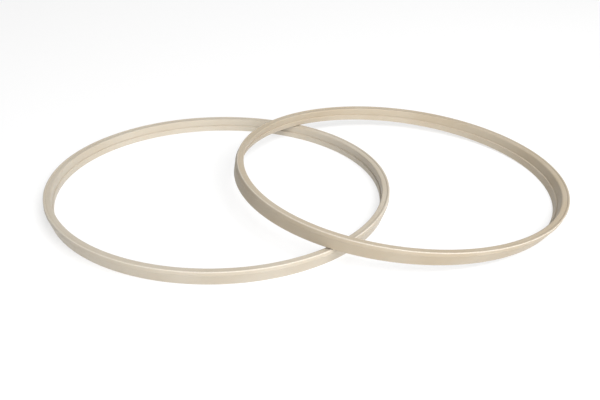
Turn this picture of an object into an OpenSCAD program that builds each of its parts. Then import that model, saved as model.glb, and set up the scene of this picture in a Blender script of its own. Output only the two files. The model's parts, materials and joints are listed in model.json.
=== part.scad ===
// Two moulded silicone sealing rings for the lid of a stovetop pressure cooker.
// The lower ring lies flat. The upper ring lies across it: it rests on the lower ring's rim
// on one side and on the table at its far side, so it is slightly tilted.
// Frame: +Z up, table at Z = 0, +X from the lower ring to the upper ring,
// origin under the middle of the pair. Millimetres.

/* [Ring] */
// Outside diameter over the rim
ring_d = 240; // [200:1:300]
// Height of a ring lying flat
ring_h = 10; // [8:0.1:14]
// Width of the top face, from the rim's outside to the inner edge
rim_w = 5.3; // [4:0.1:8]
// Height of the straight land round the rim, which seats in the lid
land_h = 2; // [1.2:0.1:3]
// How far the outer wall draws in from the land to the foot
foot_inset = 2.4; // [0.5:0.1:3]

/* [Sealing face] */
// Width of the raised bead along the rim's outer edge
bead_w = 1.4; // [1:0.1:2]
// Height of the bead above the sealing face
bead_rise = 0.35; // [0.2:0.05:0.6]
// Radius of the rim's outer top edge
rim_edge_r = 0.6; // [0.3:0.05:0.8]

/* [Inner lip] */
// Height of the lip round the foot, inside
lip_h = 4.4; // [3:0.1:5.5]
// How far the lip stands in from the inner wall
lip_reach = 0.8; // [0.7:0.1:2]
// How far the inner wall draws in from the top face to the lip
wall_draft = 0.2; // [0:0.05:0.5]
// Drop of the ledge on top of the lip, from the wall to the lip's edge
ledge_drop = 0.35; // [0.1:0.05:0.6]

/* [Edges] */
// Radius of the small moulded edges
edge_r = 0.4; // [0.2:0.05:0.5]
// Radius of the top face's inner edge
inner_edge_r = 0.9; // [0.4:0.1:1.2]
// Radius of the blend where the outer wall meets the land
blend_r = 1.5; // [0.5:0.5:3]
// Radius in the creases of the bead and the lip
crease_r = 0.15; // [0.1:0.05:0.2]

/* [Arrangement] */
// Distance between the centres of the two rings
ring_spacing = 126; // [110:1:150]
// Clearance between the upper ring's foot and the lower ring's rim
stack_gap = 0.3; // [0.2:0.05:1]

/* [Hidden] */
$fn = 180;
SILICONE = "#D8CBB4";
ARC_STEPS = 5;

rim_r = ring_d / 2;
top_in_r = rim_r - rim_w;
wall_in_r = top_in_r - wall_draft;
lip_r = wall_in_r - lip_reach;
foot_r = rim_r - foot_inset;
face_z = ring_h - bead_rise;
land_z = ring_h - rim_edge_r - land_h;

// Corners of the section as [radius, height, edge radius], anticlockwise from the foot's inside
SECTION = [
    [lip_r, 0, edge_r],
    [foot_r, 0, edge_r],
    [rim_r, land_z, blend_r],
    [rim_r, ring_h, rim_edge_r],
    [rim_r - bead_w, ring_h, edge_r],
    [rim_r - bead_w - bead_rise, face_z, crease_r],
    [top_in_r, face_z, inner_edge_r],
    [wall_in_r, lip_h, crease_r],
    [lip_r, lip_h - ledge_drop, edge_r]
];

// The upper ring's foot meets the lower rim where the lip's inside crosses the rim's outside.
// That place is contact_reach from the upper ring's centre, back towards the lower ring.
contact_reach = ring_spacing - (ring_spacing ^ 2 + rim_r ^ 2 - lip_r ^ 2) / (2 * ring_spacing);
foot_edge = foot_r - edge_r;
tilt = asin((ring_h + stack_gap) / (foot_edge + contact_reach));
upper_z = foot_edge * sin(tilt) + edge_r * (1 - cos(tilt));

// Reach of the tilted ring from its centre to the far side of the pair
far_reach = (rim_r - rim_edge_r) * cos(tilt) + (ring_h - rim_edge_r) * sin(tilt) + rim_edge_r;
lower_x = (rim_r - far_reach - ring_spacing) / 2;
upper_x = lower_x + ring_spacing;

function unit(v) = v / norm(v);
function flat(p) = [p[0], p[1]];

// The round that replaces the corner b between a and c, with radius r
function corner(a, b, c, r) =
    let (
        to_a = unit(a - b),
        to_c = unit(c - b),
        half = acos(to_a * to_c) / 2,
        mid = b + unit(to_a + to_c) * r / sin(half),
        first = b + to_a * r / tan(half) - mid,
        last = b + to_c * r / tan(half) - mid,
        start = atan2(first[1], first[0]),
        turn = atan2(first[0] * last[1] - first[1] * last[0], first * last)
    )
    [for (i = [0 : ARC_STEPS])
        let (angle = start + turn * i / ARC_STEPS)
        mid + r * [cos(angle), sin(angle)]
    ];

// The outline of a closed list of [x, y, edge radius] corners, each one rounded
function rounded(points) =
    let (last = len(points))
    [for (i = [0 : last - 1])
        each corner(
            flat(points[(i + last - 1) % last]),
            flat(points[i]),
            flat(points[(i + 1) % last]),
            points[i][2]
        )
    ];

// One ring, flat, with its foot on the plane Z = 0
module sealing_ring() {
    rotate_extrude() polygon(rounded(SECTION));
}

module lower_sealing_ring() {
    color(SILICONE) translate([lower_x, 0, 0]) sealing_ring();
}

module upper_sealing_ring() {
    color(SILICONE) translate([upper_x, 0, upper_z]) rotate([0, tilt, 0]) sealing_ring();
}

lower_sealing_ring();
upper_sealing_ring();
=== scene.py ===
"""Two silicone sealing rings for a pressure cooker's lid, one lying across the other.

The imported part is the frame. Each ring's section is swept round by Geometry Nodes, and the upper
ring is given the lean and the slight oval that a soft ring has when it lies across another.
"""

import json
import math

import bmesh
import bpy
from bpy.props import FloatProperty, FloatVectorProperty, IntProperty, PointerProperty
from bpy.types import Operator, Panel, PropertyGroup
from mathutils import Matrix, Vector


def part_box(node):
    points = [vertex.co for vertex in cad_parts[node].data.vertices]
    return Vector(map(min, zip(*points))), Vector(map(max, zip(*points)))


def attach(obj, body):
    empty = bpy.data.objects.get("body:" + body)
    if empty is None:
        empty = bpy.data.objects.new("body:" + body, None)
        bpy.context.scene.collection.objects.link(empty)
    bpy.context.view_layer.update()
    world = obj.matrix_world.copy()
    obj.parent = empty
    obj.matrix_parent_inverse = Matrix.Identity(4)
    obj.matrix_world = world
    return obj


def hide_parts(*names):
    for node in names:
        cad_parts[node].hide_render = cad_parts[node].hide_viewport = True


bl_info = {
    "name": "Lid sealing rings",
    "version": (1, 0, 0),
    "blender": (4, 5, 0),
    "location": "3D View > Sidebar > Sealing rings",
    "description": "Builds a pair of moulded silicone sealing rings and a plain studio round them",
    "category": "Object",
}

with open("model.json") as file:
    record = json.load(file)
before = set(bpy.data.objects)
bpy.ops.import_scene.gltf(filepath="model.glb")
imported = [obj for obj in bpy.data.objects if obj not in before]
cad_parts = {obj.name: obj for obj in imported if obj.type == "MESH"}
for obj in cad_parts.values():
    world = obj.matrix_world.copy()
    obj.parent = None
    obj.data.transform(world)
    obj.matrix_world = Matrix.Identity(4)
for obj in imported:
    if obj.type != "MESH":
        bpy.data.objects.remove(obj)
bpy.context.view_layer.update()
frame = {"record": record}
MOUNTS = {mount["name"]: mount for mount in frame["record"]["mounts"]}
RING_LOW, RING_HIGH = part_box("lower_sealing_ring")
RIM_RADIUS = (RING_HIGH.y - RING_LOW.y) / 2
RING_HEIGHT = RING_HIGH.z - RING_LOW.z

MM = 0.001

# The sweep: the noise's scale over a ring's radius, its share at the foot, and each ring's seed
TREE_NAME = "Swept sealing ring"
PLACE_ATTRIBUTE = "moulded_place"
WAVE_SCALE = 1.1
WAVE_AT_FOOT = 0.3
LOWER_SEED = 3.0
UPPER_SEED = 11.0
PARTING_REACH = 1 * MM

# The silicone: noise scales per metre, and sizes of its fine detail
PATCH_SCALE = 28.0
MOTTLE_SCALE = 900.0
# Scale of the unevenness in the painted shade of the creases
CREASE_SHADE_SCALE = 160.0
SHINE_SCALE = 420.0
PATCH_CONTRAST = 0.3
# Widths of the painted shade in the crease at the lip and in the crease beside the bead
LIP_SHADE_WIDTH = 0.8 * MM
BEAD_SHADE_WIDTH = 0.35 * MM
TURNING_PITCH = 0.5 * MM
TURNING_SHARE = 0.12
GRAIN_DEPTH = 0.04 * MM
SILICONE_IOR = 1.41

# The studio, in metres
SOFTBOX_SIZE = 1.2
SOFTBOX_DISTANCE = 1.6
FLOOR_SIZE = 12.0
BACKDROP_RADIUS = 9.0


# ---------------------------------------------------------------- sizes and colours


class RingSectionSizes(PropertyGroup):
    """The moulded section of a ring, and how finely it is swept"""

    top_width: FloatProperty(
        name="Top width",
        description="Width of the top face, from the rim's outside to the inner edge",
        default=5.3 * MM,
        min=4 * MM,
        unit="LENGTH",
        precision=4,
    )
    land_height: FloatProperty(
        name="Land height",
        description="Height of the straight land round the rim",
        default=2 * MM,
        min=1 * MM,
        unit="LENGTH",
        precision=4,
    )
    foot_inset: FloatProperty(
        name="Foot inset",
        description="How far the outer wall draws in from the land to the foot",
        default=2.4 * MM,
        min=0.5 * MM,
        unit="LENGTH",
        precision=4,
    )
    bead_width: FloatProperty(
        name="Bead width",
        description="Width of the raised bead along the rim",
        default=1.4 * MM,
        min=1 * MM,
        unit="LENGTH",
        precision=4,
    )
    bead_rise: FloatProperty(
        name="Bead rise",
        description="Height of the bead above the sealing face",
        default=0.35 * MM,
        min=0.1 * MM,
        unit="LENGTH",
        precision=5,
    )
    rim_edge_radius: FloatProperty(
        name="Rim edge radius",
        description="Radius of the rim's outer top edge",
        default=0.6 * MM,
        min=0.2 * MM,
        unit="LENGTH",
        precision=5,
    )
    inner_edge_radius: FloatProperty(
        name="Inner edge radius",
        description="Radius of the top face's inner edge",
        default=0.9 * MM,
        min=0.2 * MM,
        unit="LENGTH",
        precision=5,
    )
    edge_radius: FloatProperty(
        name="Edge radius",
        description="Radius of the small moulded edges",
        default=0.4 * MM,
        min=0.1 * MM,
        unit="LENGTH",
        precision=5,
    )
    crease_radius: FloatProperty(
        name="Crease radius",
        description="Radius in the creases of the bead and the lip",
        default=0.15 * MM,
        min=0.05 * MM,
        unit="LENGTH",
        precision=5,
    )
    blend_radius: FloatProperty(
        name="Blend radius",
        description="Radius where the outer wall meets the land",
        default=1.5 * MM,
        min=0.2 * MM,
        unit="LENGTH",
        precision=4,
    )
    lip_height: FloatProperty(
        name="Lip height",
        description="Height of the lip round the foot, inside",
        default=4.4 * MM,
        min=2 * MM,
        unit="LENGTH",
        precision=4,
    )
    lip_reach: FloatProperty(
        name="Lip reach",
        description="How far the lip stands in from the inner wall",
        default=0.8 * MM,
        min=0.4 * MM,
        unit="LENGTH",
        precision=4,
    )
    wall_draft: FloatProperty(
        name="Wall draft",
        description="How far the inner wall draws in from the top face to the lip",
        default=0.2 * MM,
        min=0,
        unit="LENGTH",
        precision=5,
    )
    ledge_drop: FloatProperty(
        name="Ledge drop",
        description="Drop of the ledge on top of the lip",
        default=0.35 * MM,
        min=0.1 * MM,
        unit="LENGTH",
        precision=5,
    )
    arc_steps: IntProperty(
        name="Steps in a rounded edge",
        description="How many short sides make each rounded edge of the section",
        default=6,
        min=2,
        max=12,
    )
    stretch_step: FloatProperty(
        name="Step on a flat",
        description="Longest side on the flat stretches of the section",
        default=0.6 * MM,
        min=0.2 * MM,
        unit="LENGTH",
        precision=5,
    )
    segments: IntProperty(
        name="Steps round the ring",
        description="How many times the section is repeated round the ring",
        default=540,
        min=48,
        max=900,
    )


class RubberShape(PropertyGroup):
    """How a soft ring differs from a perfect one where it lies"""

    waviness: FloatProperty(
        name="Waviness",
        description="How far the rim wanders from a true circle, as soft rubber does",
        default=0.35 * MM,
        min=0,
        max=2 * MM,
        unit="LENGTH",
        precision=5,
    )
    upper_lean: FloatProperty(
        name="Upper ring's lean",
        description="Slope by which the upper ring's section leans away from the lower ring",
        default=0.40,
        min=0,
        max=0.6,
    )
    upper_narrowing: FloatProperty(
        name="Upper ring's narrowing",
        description="How much of its radius the upper ring loses along the pair",
        default=0.014,
        min=0,
        max=0.05,
        subtype="FACTOR",
    )
    parting_line: FloatProperty(
        name="Parting line",
        description="Height of the fine ridge where the two halves of the mould met",
        default=0.07 * MM,
        min=0,
        max=0.3 * MM,
        unit="LENGTH",
        precision=5,
    )


class SiliconeLook(PropertyGroup):
    """Colours and finish of the silicone"""

    cream: FloatVectorProperty(
        name="Cream",
        description="Main colour of the silicone",
        default=(0.515, 0.462, 0.380),
        subtype="COLOR",
        min=0,
        max=1,
    )
    # Real yellowing in soft patches; as the high least share of the upper ring it is painted shade
    # over that whole ring
    aged_and_shaded: FloatVectorProperty(
        name="Aged and shaded cream",
        description="Yellowed colour, in soft patches",
        default=(0.430, 0.355, 0.255),
        subtype="COLOR",
        min=0,
        max=1,
    )
    # Painted shade: this colour darkens the creases at the lip and beside the bead
    crease_shade_colour: FloatVectorProperty(
        name="Crease colour",
        description="Colour of the fine dirt that stays in the creases",
        default=(0.33, 0.27, 0.20),
        subtype="COLOR",
        min=0,
        max=1,
    )
    # Painted highlight: this pale colour lightens the rim's outer edge and the lip
    bloom: FloatVectorProperty(
        name="Highlight colour",
        description="Pale bloom on the handled edges",
        default=(0.64, 0.59, 0.51),
        subtype="COLOR",
        min=0,
        max=1,
    )
    lower_age: FloatProperty(
        name="Lower ring's age",
        description="Least share of the yellowed colour in the lower ring",
        default=0.03,
        min=0,
        max=0.7,
        subtype="FACTOR",
    )
    # Painted shade: this high share darkens the whole upper ring in place of the shade on its walls
    upper_age_and_shade: FloatProperty(
        name="Upper ring's age",
        description="Least share of the yellowed colour in the upper ring",
        default=0.60,
        min=0,
        max=0.7,
        subtype="FACTOR",
    )
    translucency: FloatProperty(
        name="Translucency",
        description="Share of the light that goes a little way into the silicone",
        default=0.08,
        min=0,
        max=1,
        subtype="FACTOR",
    )
    grain_size: FloatProperty(
        name="Grain size",
        description="Size of the fine matte grain that the mould leaves",
        default=0.45 * MM,
        min=0.1 * MM,
        unit="LENGTH",
        precision=5,
    )


class StudioSetup(PropertyGroup):
    """Camera, floor and lights"""

    azimuth: FloatProperty(
        name="Camera azimuth",
        description="Turn of the camera from looking along +Y",
        default=math.radians(-6.82),
        unit="ROTATION",
    )
    elevation: FloatProperty(
        name="Camera elevation",
        description="How far the camera looks down",
        default=math.radians(27.70),
        unit="ROTATION",
    )
    roll: FloatProperty(
        name="Camera roll",
        description="Turn of the camera about its own line of sight",
        default=math.radians(1.33),
        unit="ROTATION",
    )
    distance: FloatProperty(
        name="Camera distance",
        description="From the camera to the point that it aims at",
        default=553.7 * MM,
        min=0.1,
        unit="LENGTH",
    )
    aim: FloatVectorProperty(
        name="Aim",
        description="The point on the floor that the camera aims at",
        default=(-7.37 * MM, -15.63 * MM, 0),
        subtype="TRANSLATION",
        unit="LENGTH",
        precision=5,
    )
    lens: FloatProperty(
        name="Lens",
        description="Focal length in millimetres, on a sensor 36 mm wide",
        default=47.2,
        min=10,
    )
    floor_colour: FloatVectorProperty(
        name="Floor colour",
        description="Colour of the plain white light table",
        default=(0.38, 0.38, 0.38),
        subtype="COLOR",
        min=0,
        max=1,
    )
    floor_glow: FloatProperty(
        name="Floor glow",
        description="How strongly the light table glows from inside",
        default=0.62,
        min=0,
    )
    sky_strength: FloatProperty(
        name="Sky strength",
        description="Even light from all round",
        default=0.02,
        min=0,
    )
    front_power: FloatProperty(
        name="Front softbox",
        description="Power of the softbox above the camera, in watts",
        default=15,
        min=0,
    )
    key_power: FloatProperty(
        name="Key softbox",
        description="Power of the high softbox at the front right, in watts",
        default=24,
        min=0,
    )
    low_power: FloatProperty(
        name="Low softbox",
        description="Power of the low softbox behind the camera, in watts",
        default=8,
        min=0,
    )
    back_power: FloatProperty(
        name="Back softbox",
        description="Power of the high softbox at the back, in watts",
        default=8,
        min=0,
    )


# ---------------------------------------------------------------- node graphs


class Graph:
    """Adds nodes to a node tree and joins them up."""

    def __init__(self, tree):
        self.tree = tree
        self.tree.nodes.clear()

    def node(self, kind, inputs=None, **settings):
        """A new node. Inputs go by name or number, and each is a value or another node's output."""
        node = self.tree.nodes.new(kind)
        for name, value in settings.items():
            setattr(node, name, value)
        for name, value in (inputs or {}).items():
            if isinstance(value, bpy.types.NodeSocket):
                self.tree.links.new(value, node.inputs[name])
            else:
                node.inputs[name].default_value = value
        return node

    def math(self, operation, first, second=0.0):
        node = self.node("ShaderNodeMath", {0: first, 1: second}, operation=operation)
        return node.outputs[0]

    def vector(self, operation, first, second=(0, 0, 0)):
        node = self.node("ShaderNodeVectorMath", {0: first, 1: second}, operation=operation)
        return node.outputs[0]

    def scaled(self, vector, scale):
        node = self.node("ShaderNodeVectorMath", {0: vector, "Scale": scale}, operation="SCALE")
        return node.outputs[0]

    def split(self, vector):
        node = self.node("ShaderNodeSeparateXYZ", {0: vector})
        return node.outputs[0], node.outputs[1], node.outputs[2]

    def joined(self, x, y, z):
        return self.node("ShaderNodeCombineXYZ", {0: x, 1: y, 2: z}).outputs[0]

    def noise(self, place, scale, detail=2.0, roughness=0.5):
        inputs = {"Vector": place, "Scale": scale, "Detail": detail, "Roughness": roughness}
        return self.node("ShaderNodeTexNoise", inputs).outputs[0]

    def mixed(self, factor, first, second):
        """The first colour turned into the second by the factor."""
        # A Mix node has sockets for every kind of value. Those for colours are 6, 7 and output 2.
        inputs = {"Factor": factor, 6: first, 7: second}
        return self.node("ShaderNodeMix", inputs, data_type="RGBA").outputs[2]

    def ramp(self, value, low, high, to_low=0.0, to_high=1.0):
        """Value turned smoothly from low..high into to_low..to_high."""
        inputs = {0: value, 1: low, 2: high, 3: to_low, 4: to_high}
        node = self.node("ShaderNodeMapRange", inputs, interpolation_type="SMOOTHSTEP")
        return node.outputs[0]


def new_input(tree, name, kind, default, description):
    """A named input on a node tree."""
    socket = tree.interface.new_socket(name=name, in_out="INPUT", socket_type=kind)
    socket.description = description
    if default is not None:
        socket.default_value = default


def input_identifiers(tree):
    """The identifiers of a node tree's inputs, by name."""
    sockets = [item for item in tree.interface.items_tree if item.item_type == "SOCKET"]
    return {socket.name: socket.identifier for socket in sockets if socket.in_out == "INPUT"}


# ---------------------------------------------------------------- the section


def rounded_corner(before, corner, after, radius, steps):
    """Points of the arc that replaces a corner of the section."""
    back = (before - corner).normalized()
    on = (after - corner).normalized()
    half = back.angle(on) / 2
    centre = corner + (back + on).normalized() * radius / math.sin(half)
    first = corner + back * radius / math.tan(half) - centre
    last = corner + on * radius / math.tan(half) - centre
    start = math.atan2(first.y, first.x)
    turn = math.atan2(first.x * last.y - first.y * last.x, first.dot(last))
    angles = [start + turn * step / steps for step in range(steps + 1)]
    return [centre + radius * Vector((math.cos(a), math.sin(a))) for a in angles]


def divided(points, longest):
    """A closed outline whose sides are no longer than longest."""
    out = []
    for here, following in zip(points, points[1:] + points[:1]):
        parts = max(1, math.ceil((following - here).length / longest))
        out += [here.lerp(following, part / parts) for part in range(parts)]
    return out


def section_outline(sizes, parting_line):
    """The ring's section as points of x, out from the rim's outside, and y, up from the foot."""
    top_in = -sizes.top_width
    wall_in = top_in - sizes.wall_draft
    lip_in = wall_in - sizes.lip_reach
    face = RING_HEIGHT - sizes.bead_rise
    land = RING_HEIGHT - sizes.rim_edge_radius - sizes.land_height
    edge, crease = sizes.edge_radius, sizes.crease_radius
    corners = [
        (lip_in, 0, edge),
        (-sizes.foot_inset, 0, edge),
        (0, land, sizes.blend_radius),
        (0, RING_HEIGHT, sizes.rim_edge_radius),
        (-sizes.bead_width, RING_HEIGHT, edge),
        (-sizes.bead_width - sizes.bead_rise, face, crease),
        (top_in, face, sizes.inner_edge_radius),
        (wall_in, sizes.lip_height, crease),
        (lip_in, sizes.lip_height - sizes.ledge_drop, edge),
    ]
    places = [Vector(corner[:2]) for corner in corners]
    outline = []
    for index, corner in enumerate(corners):
        before, after = places[index - 1], places[(index + 1) % len(corners)]
        outline += rounded_corner(before, places[index], after, corner[2], sizes.arc_steps)
    outline = divided(outline, sizes.stretch_step)
    return with_parting_line(outline, land, parting_line)


def with_parting_line(outline, height, ridge):
    """The outline with a fine ridge on the outer wall at that height."""
    spread = 2 * ridge
    out = []
    for here, following in zip(outline, outline[1:] + outline[:1]):
        out.append(here)
        if ridge and here.x > -PARTING_REACH and here.y < height <= following.y:
            foot = here.lerp(following, (height - here.y) / (following.y - here.y))
            along = (following - here).normalized()
            outwards = Vector((along.y, -along.x))
            out += [foot - along * spread, foot + outwards * ridge, foot + along * spread]
    return out


# ---------------------------------------------------------------- the swept ring


def ring_tree():
    """Geometry Nodes that sweep a section round a circle and lay the ring in its place."""
    tree = bpy.data.node_groups.new(TREE_NAME, "GeometryNodeTree")
    graph = Graph(tree)
    tree.interface.new_socket(name="Section", in_out="INPUT", socket_type="NodeSocketGeometry")
    for name, kind, default, description in (
        ("Rim radius", "NodeSocketFloat", RIM_RADIUS, "Outside radius of the rim"),
        ("Steps round", "NodeSocketInt", 540, "Sections round the ring"),
        ("Lean", "NodeSocketFloat", 0.0, "Slope of the section along X"),
        ("Narrowing", "NodeSocketFloat", 0.0, "Share of its radius that the ring loses along X"),
        ("Waviness", "NodeSocketFloat", 0.0, "How far the rim wanders"),
        ("Seed", "NodeSocketFloat", 0.0, "Which waves the ring has"),
        ("Tilt", "NodeSocketFloat", 0.0, "Turn about Y, in radians"),
        ("Centre", "NodeSocketVector", (0, 0, 0), "Centre of the foot"),
        ("Silicone", "NodeSocketMaterial", None, "Material of the ring"),
    ):
        new_input(tree, name, kind, default, description)
    tree.interface.new_socket(name="Ring", in_out="OUTPUT", socket_type="NodeSocketGeometry")
    given = graph.node("NodeGroupInput").outputs

    circle = graph.node(
        "GeometryNodeCurvePrimitiveCircle",
        {"Resolution": given["Steps round"], "Radius": given["Rim radius"]},
        mode="RADIUS",
    )
    upright = graph.node(
        "GeometryNodeSetCurveNormal", {"Curve": circle.outputs["Curve"]}, mode="Z_UP"
    )
    # The sweep takes a section's Y downwards, so the section is turned over first.
    section = graph.node("GeometryNodeMeshToCurve", {"Mesh": given["Section"]})
    turned_over = graph.node(
        "GeometryNodeTransform",
        {"Geometry": section.outputs["Curve"], "Rotation": (math.pi, 0, 0)},
    )
    swept = graph.node(
        "GeometryNodeCurveToMesh",
        {"Curve": upright.outputs["Curve"], "Profile Curve": turned_over.outputs["Geometry"]},
    )
    place = graph.node("GeometryNodeInputPosition").outputs[0]
    named = graph.node(
        "GeometryNodeStoreNamedAttribute",
        {"Geometry": swept.outputs["Mesh"], "Name": PLACE_ATTRIBUTE, "Value": place},
        data_type="FLOAT_VECTOR",
        domain="POINT",
    )

    # Rubber wanders a little from a true circle, more at the rim than at the foot.
    x, y, height = graph.split(place)
    seeded = graph.joined(0, 0, given["Seed"])
    wave_place = graph.vector("ADD", graph.scaled(place, 1 / RIM_RADIUS), seeded)
    wave = graph.math("SUBTRACT", graph.noise(wave_place, WAVE_SCALE), 0.5)
    rise = graph.math("ADD", WAVE_AT_FOOT, graph.math("DIVIDE", height, RING_HEIGHT))
    radial = graph.math("MULTIPLY", graph.math("MULTIPLY", wave, given["Waviness"]), rise)
    outwards = graph.vector("NORMALIZE", graph.joined(x, y, 0.0))
    wandered = graph.vector("ADD", place, graph.scaled(outwards, radial))

    # The section leans along X with its height, and the ring is a little narrow along X.
    x, y, height = graph.split(wandered)
    narrow = graph.math("MULTIPLY", x, graph.math("SUBTRACT", 1.0, given["Narrowing"]))
    leant = graph.math("ADD", narrow, graph.math("MULTIPLY", height, given["Lean"]))
    shaped = graph.node(
        "GeometryNodeSetPosition",
        {"Geometry": named.outputs["Geometry"], "Position": graph.joined(leant, y, height)},
    )
    turn = graph.node("FunctionNodeEulerToRotation", {"Euler": graph.joined(0.0, given["Tilt"], 0.0)})
    laid = graph.node(
        "GeometryNodeTransform",
        {
            "Geometry": shaped.outputs["Geometry"],
            "Translation": given["Centre"],
            "Rotation": turn.outputs["Rotation"],
        },
    )
    outward = graph.node("GeometryNodeFlipFaces", {"Mesh": laid.outputs["Geometry"]})
    smooth = graph.node("GeometryNodeSetShadeSmooth", {"Geometry": outward.outputs["Mesh"]})
    real = graph.node("GeometryNodeRealizeInstances", {"Geometry": smooth.outputs["Geometry"]})
    painted = graph.node(
        "GeometryNodeSetMaterial",
        {"Geometry": real.outputs["Geometry"], "Material": given["Silicone"]},
    )
    graph.node("NodeGroupOutput", {0: painted.outputs["Geometry"]})
    return tree


def swept_ring(name, material, values):
    """A plain mesh object of a ring, with its place in its mesh."""
    sizes = bpy.context.scene.sealing_ring_section
    shape = bpy.context.scene.sealing_ring_rubber
    outline = section_outline(sizes, shape.parting_line)
    mesh = bpy.data.meshes.new(name + "_section")
    count = len(outline)
    edges = [(index, (index + 1) % count) for index in range(count)]
    mesh.from_pydata([(point.x, point.y, 0) for point in outline], edges, [])
    draft = bpy.data.objects.new(name + "_draft", mesh)
    bpy.context.scene.collection.objects.link(draft)

    sweep = draft.modifiers.new("Sweep", "NODES")
    sweep.node_group = bpy.data.node_groups.get(TREE_NAME) or ring_tree()
    inputs = input_identifiers(sweep.node_group)
    common = {
        "Rim radius": RIM_RADIUS,
        "Steps round": sizes.segments,
        "Waviness": shape.waviness,
        "Silicone": material,
    }
    for label, value in {**common, **values}.items():
        sweep[inputs[label]] = value
    bpy.context.view_layer.update()
    evaluated = draft.evaluated_get(bpy.context.evaluated_depsgraph_get())
    plain = bpy.data.meshes.new_from_object(evaluated)
    plain.name = name
    bpy.data.objects.remove(draft)
    bpy.data.meshes.remove(mesh)
    piece = bpy.data.objects.new(name, plain)
    bpy.context.scene.collection.objects.link(piece)
    return piece


# ---------------------------------------------------------------- the silicone


def silicone_material(name, age_and_shade):
    """Cream silicone: matte moulded grain, soft yellowing, painted shade in the creases and over a
    ring given a high least share, and painted highlights on the rim's edge and the lip.
    """
    look = bpy.context.scene.sealing_ring_silicone
    sizes = bpy.context.scene.sealing_ring_section
    material = bpy.data.materials.new(name)
    material.use_nodes = True
    graph = Graph(material.node_tree)
    place = graph.node("ShaderNodeAttribute", attribute_name=PLACE_ATTRIBUTE).outputs["Vector"]
    x, y, height = graph.split(place)
    level = graph.joined(x, y, 0.0)
    reach = graph.node("ShaderNodeVectorMath", {0: level}, operation="LENGTH")
    inwards = graph.math("SUBTRACT", RIM_RADIUS, reach.outputs["Value"])

    # Yellowing lies in patches a few centimetres long.
    patches = graph.noise(place, PATCH_SCALE, 3.0)
    # The least share darkens a whole ring evenly: real yellowing for the lower ring, painted shade
    # for the upper ring
    yellowed_and_shaded = graph.ramp(patches, 0.35, 0.7, age_and_shade, age_and_shade + PATCH_CONTRAST)
    aged_and_shaded = graph.mixed(yellowed_and_shaded, (*look.cream, 1), (*look.aged_and_shaded, 1))

    # Painted shade darkens the crease where the inner wall meets the lip and the crease beside the
    # bead.
    lip_gap = graph.math("ABSOLUTE", graph.math("SUBTRACT", height, sizes.lip_height))
    inside = graph.ramp(inwards, sizes.top_width - 0.6 * MM, sizes.top_width)
    lip_shade = graph.math("MULTIPLY", graph.ramp(lip_gap, 0.0, LIP_SHADE_WIDTH, 0.55, 0.0), inside)
    bead_place = sizes.bead_width + sizes.bead_rise
    bead_gap = graph.math("ABSOLUTE", graph.math("SUBTRACT", inwards, bead_place))
    on_top = graph.ramp(height, RING_HEIGHT - 1 * MM, RING_HEIGHT - 0.5 * MM)
    bead_shade = graph.math("MULTIPLY", graph.ramp(bead_gap, 0.0, BEAD_SHADE_WIDTH, 0.8, 0.0), on_top)
    shading = graph.math("MAXIMUM", lip_shade, bead_shade)
    uneven = graph.ramp(graph.noise(place, CREASE_SHADE_SCALE, 4.0, 0.6), 0.3, 0.7, 0.5, 0.75)
    crease_shaded = graph.mixed(graph.math("MULTIPLY", shading, uneven), aged_and_shaded, (*look.crease_shade_colour, 1))

    # A painted highlight lightens the rim's outer edge and the lip.
    rim = graph.ramp(height, RING_HEIGHT - 0.8 * MM, RING_HEIGHT - 0.1 * MM)
    outer = graph.ramp(inwards, 0.9 * MM, 0.2 * MM)
    lip_start = sizes.top_width + sizes.wall_draft
    lip = graph.ramp(inwards, lip_start + 0.1 * MM, lip_start + 0.5 * MM, 0.0, 0.15)
    edges = graph.math("MAXIMUM", graph.math("MULTIPLY", rim, outer), lip)
    mottle = graph.ramp(graph.noise(place, MOTTLE_SCALE, 2.0), 0.3, 0.75)
    painted_highlight = graph.math("MULTIPLY", edges, graph.ramp(mottle, 0.0, 1.0, 0.6, 0.95))
    # The painted highlight, broken up by the mottle, goes into the colour
    colour = graph.mixed(painted_highlight, crease_shaded, (*look.bloom, 1))

    # Matte grain from the blasted mould, and the faint rings left by turning it.
    grain = graph.noise(place, 1 / look.grain_size, 3.0, 0.6)
    across = graph.math("ADD", inwards, height)
    turned = graph.math("SINE", graph.math("MULTIPLY", across, 2 * math.pi / TURNING_PITCH))
    relief = graph.math("ADD", grain, graph.math("MULTIPLY", turned, TURNING_SHARE))
    bump = graph.node(
        "ShaderNodeBump",
        {"Strength": 0.35, "Distance": GRAIN_DEPTH, "Height": relief},
    )
    roughness = graph.ramp(graph.noise(place, SHINE_SCALE, 3.0), 0.3, 0.7, 0.50, 0.64)

    silicone = graph.node(
        "ShaderNodeBsdfPrincipled",
        {
            "Base Color": colour,
            "Roughness": roughness,
            "IOR": SILICONE_IOR,
            "Subsurface Weight": look.translucency,
            "Subsurface Radius": (1.0, 0.7, 0.45),
            "Subsurface Scale": 1.2 * MM,
            "Sheen Weight": 0.1,
            "Sheen Roughness": 0.4,
            "Normal": bump.outputs["Normal"],
        },
    )
    graph.node("ShaderNodeOutputMaterial", {"Surface": silicone.outputs["BSDF"]})
    return material


# ---------------------------------------------------------------- operators


def finish_piece(piece, body, node):
    """The piece rides on that body and stands for that CAD node."""
    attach(piece, body)
    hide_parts(node)


class SEALING_RINGS_OT_lower(Operator):
    """Build the lower ring, which lies flat on the floor"""

    bl_idname = "sealing_rings.lower"
    bl_label = "Lower sealing ring"

    def execute(self, context):
        middle = (RING_LOW + RING_HIGH) / 2
        values = {"Centre": (middle.x, middle.y, RING_LOW.z), "Seed": LOWER_SEED}
        age_and_shade = context.scene.sealing_ring_silicone.lower_age
        silicone = silicone_material("Moulded silicone", age_and_shade)
        piece = swept_ring("lower_silicone_ring", silicone, values)
        finish_piece(piece, "lower_ring", "lower_sealing_ring")
        return {"FINISHED"}


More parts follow.
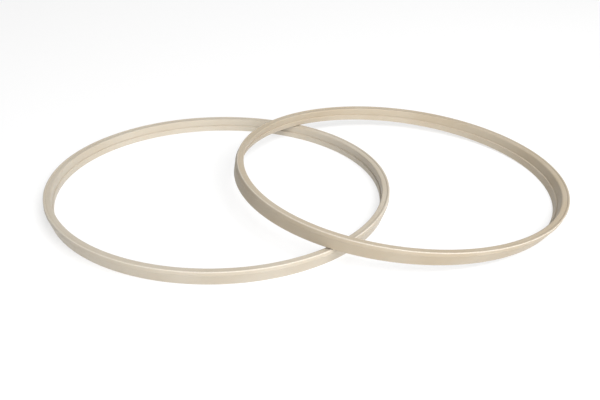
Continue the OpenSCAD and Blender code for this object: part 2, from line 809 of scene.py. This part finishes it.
class SEALING_RINGS_OT_upper(Operator):
    """Build the upper ring, which lies across the lower one and leans away from it"""

    bl_idname = "sealing_rings.upper"
    bl_label = "Upper sealing ring"

    def execute(self, context):
        shape = context.scene.sealing_ring_rubber
        axis = Vector(MOUNTS["upper_lid_seat"]["axis"])
        seat = Vector(MOUNTS["upper_lid_seat"]["pos_m"])
        seat_height = MOUNTS["lower_lid_seat"]["pos_m"][2] - RING_LOW.z
        values = {
            "Centre": tuple(seat - axis * seat_height),
            "Tilt": math.atan2(axis.x, axis.z),
            "Lean": shape.upper_lean,
            "Narrowing": shape.upper_narrowing,
            "Seed": UPPER_SEED,
        }
        # Painted shade: the upper ring gets a darker copy of the silicone
        age_and_shade = context.scene.sealing_ring_silicone.upper_age_and_shade
        silicone = silicone_material("Yellowed and shaded silicone", age_and_shade)
        piece = swept_ring("upper_silicone_ring", silicone, values)
        finish_piece(piece, "upper_ring", "upper_sealing_ring")
        return {"FINISHED"}


def softbox(name, turn, height, power):
    """A soft square light that the camera doesn't see, aimed at the origin.

    It stands that many degrees round from the front to the right, and that many degrees up.
    """
    turn = math.radians(turn)
    height = math.radians(height)
    level = math.cos(height)
    towards = Vector((math.sin(turn) * level, -math.cos(turn) * level, math.sin(height)))
    light = bpy.data.lights.new(name, "AREA")
    light.shape = "SQUARE"
    light.size = SOFTBOX_SIZE
    light.energy = power
    lamp = bpy.data.objects.new(name, light)
    lamp.location = towards * SOFTBOX_DISTANCE
    lamp.rotation_euler = (-towards).to_track_quat("-Z", "Y").to_euler()
    lamp.visible_camera = False
    bpy.context.scene.collection.objects.link(lamp)


def studio_camera(setup):
    """The camera, aimed and rolled as the setup says."""
    along = Vector((-math.sin(setup.azimuth), math.cos(setup.azimuth), 0))
    right = Vector((math.cos(setup.azimuth), math.sin(setup.azimuth), 0))
    forward = along * math.cos(setup.elevation) - Vector((0, 0, math.sin(setup.elevation)))
    up = right.cross(forward)
    rolled_right = right * math.cos(setup.roll) + up * math.sin(setup.roll)
    rolled_up = up * math.cos(setup.roll) - right * math.sin(setup.roll)
    data = bpy.data.cameras.new("Studio camera")
    data.lens = setup.lens
    data.sensor_width = 36
    data.clip_start = 0.01
    camera = bpy.data.objects.new("Studio camera", data)
    place = Vector(setup.aim) - forward * setup.distance
    turned = Matrix((rolled_right, rolled_up, -forward)).transposed()
    camera.matrix_world = Matrix.Translation(place) @ turned.to_4x4()
    bpy.context.scene.collection.objects.link(camera)
    bpy.context.scene.camera = camera


def studio_backdrop(setup):
    """A pale globe far outside, which only the camera sees, so that no view ends in the dark."""
    mesh = bpy.data.meshes.new("Backdrop")
    globe = bmesh.new()
    bmesh.ops.create_icosphere(globe, subdivisions=4, radius=BACKDROP_RADIUS)
    globe.to_mesh(mesh)
    globe.free()
    backdrop = bpy.data.objects.new("Backdrop", mesh)
    backdrop.visible_diffuse = False
    backdrop.visible_glossy = False
    backdrop.visible_transmission = False
    backdrop.visible_volume_scatter = False
    backdrop.visible_shadow = False
    material = bpy.data.materials.new("Backdrop light")
    material.use_nodes = True
    graph = Graph(material.node_tree)
    glow = graph.node("ShaderNodeEmission", {"Color": (1, 1, 1, 1), "Strength": setup.floor_glow})
    graph.node("ShaderNodeOutputMaterial", {"Surface": glow.outputs["Emission"]})
    mesh.materials.append(material)
    bpy.context.scene.collection.objects.link(backdrop)


def studio_floor(setup):
    """A wide white light table, which leaves almost no shadow."""
    mesh = bpy.data.meshes.new("Floor")
    half = FLOOR_SIZE / 2
    corners = [(-half, -half, 0), (half, -half, 0), (half, half, 0), (-half, half, 0)]
    mesh.from_pydata(corners, [], [(0, 1, 2, 3)])
    floor = bpy.data.objects.new("Floor", mesh)
    material = bpy.data.materials.new("Floor paint")
    material.use_nodes = True
    graph = Graph(material.node_tree)
    paint = graph.node(
        "ShaderNodeBsdfPrincipled",
        {
            "Base Color": (*setup.floor_colour, 1),
            "Roughness": 0.9,
            "Specular IOR Level": 0.1,
            "Emission Color": (1, 1, 1, 1),
            "Emission Strength": setup.floor_glow,
        },
    )
    graph.node("ShaderNodeOutputMaterial", {"Surface": paint.outputs["BSDF"]})
    mesh.materials.append(material)
    bpy.context.scene.collection.objects.link(floor)


class SEALING_RINGS_OT_stage(Operator):
    """Build the floor, the lights and the camera"""

    bl_idname = "sealing_rings.stage"
    bl_label = "Stage"

    def execute(self, context):
        setup = context.scene.sealing_ring_studio
        studio_camera(setup)
        studio_floor(setup)
        studio_backdrop(setup)
        softbox("Low softbox", 12, 15, setup.low_power)
        softbox("Front softbox", 0, 35, setup.front_power)
        softbox("Key softbox", 45, 50, setup.key_power)
        softbox("Back softbox", 180, 50, setup.back_power)
        world = bpy.data.worlds.new("Studio sky")
        world.use_nodes = True
        graph = Graph(world.node_tree)
        sky = graph.node(
            "ShaderNodeBackground",
            {"Color": (1, 1, 1, 1), "Strength": setup.sky_strength},
        )
        graph.node("ShaderNodeOutputWorld", {"Surface": sky.outputs["Background"]})
        context.scene.world = world
        context.scene.view_settings.view_transform = "Standard"
        return {"FINISHED"}


class SEALING_RINGS_PT_panel(Panel):
    """Sizes, colours and the steps that build the rings"""

    bl_idname = "SEALING_RINGS_PT_panel"
    bl_label = "Sealing rings"
    bl_space_type = "VIEW_3D"
    bl_region_type = "UI"
    bl_category = "Sealing rings"

    def draw(self, context):
        for group in SETTINGS:
            settings = getattr(context.scene, group)
            box = self.layout.box()
            for name in settings.bl_rna.properties.keys():
                if name not in ("rna_type", "name"):
                    box.prop(settings, name)
        for step in STEPS:
            self.layout.operator(step.bl_idname)


SETTINGS = {
    "sealing_ring_section": RingSectionSizes,
    "sealing_ring_rubber": RubberShape,
    "sealing_ring_silicone": SiliconeLook,
    "sealing_ring_studio": StudioSetup,
}
STEPS = (SEALING_RINGS_OT_stage, SEALING_RINGS_OT_lower, SEALING_RINGS_OT_upper)


def register():
    for group in SETTINGS.values():
        bpy.utils.register_class(group)
    for step in STEPS:
        bpy.utils.register_class(step)
    bpy.utils.register_class(SEALING_RINGS_PT_panel)
    for name, group in SETTINGS.items():
        setattr(bpy.types.Scene, name, PointerProperty(type=group))


def unregister():
    for name in SETTINGS:
        delattr(bpy.types.Scene, name)
    bpy.utils.unregister_class(SEALING_RINGS_PT_panel)
    for step in reversed(STEPS):
        bpy.utils.unregister_class(step)
    for group in reversed(SETTINGS.values()):
        bpy.utils.unregister_class(group)


def main():
    register()
    bpy.ops.sealing_rings.stage()
    bpy.ops.sealing_rings.lower()
    bpy.ops.sealing_rings.upper()


if __name__ == "__main__":
    main()
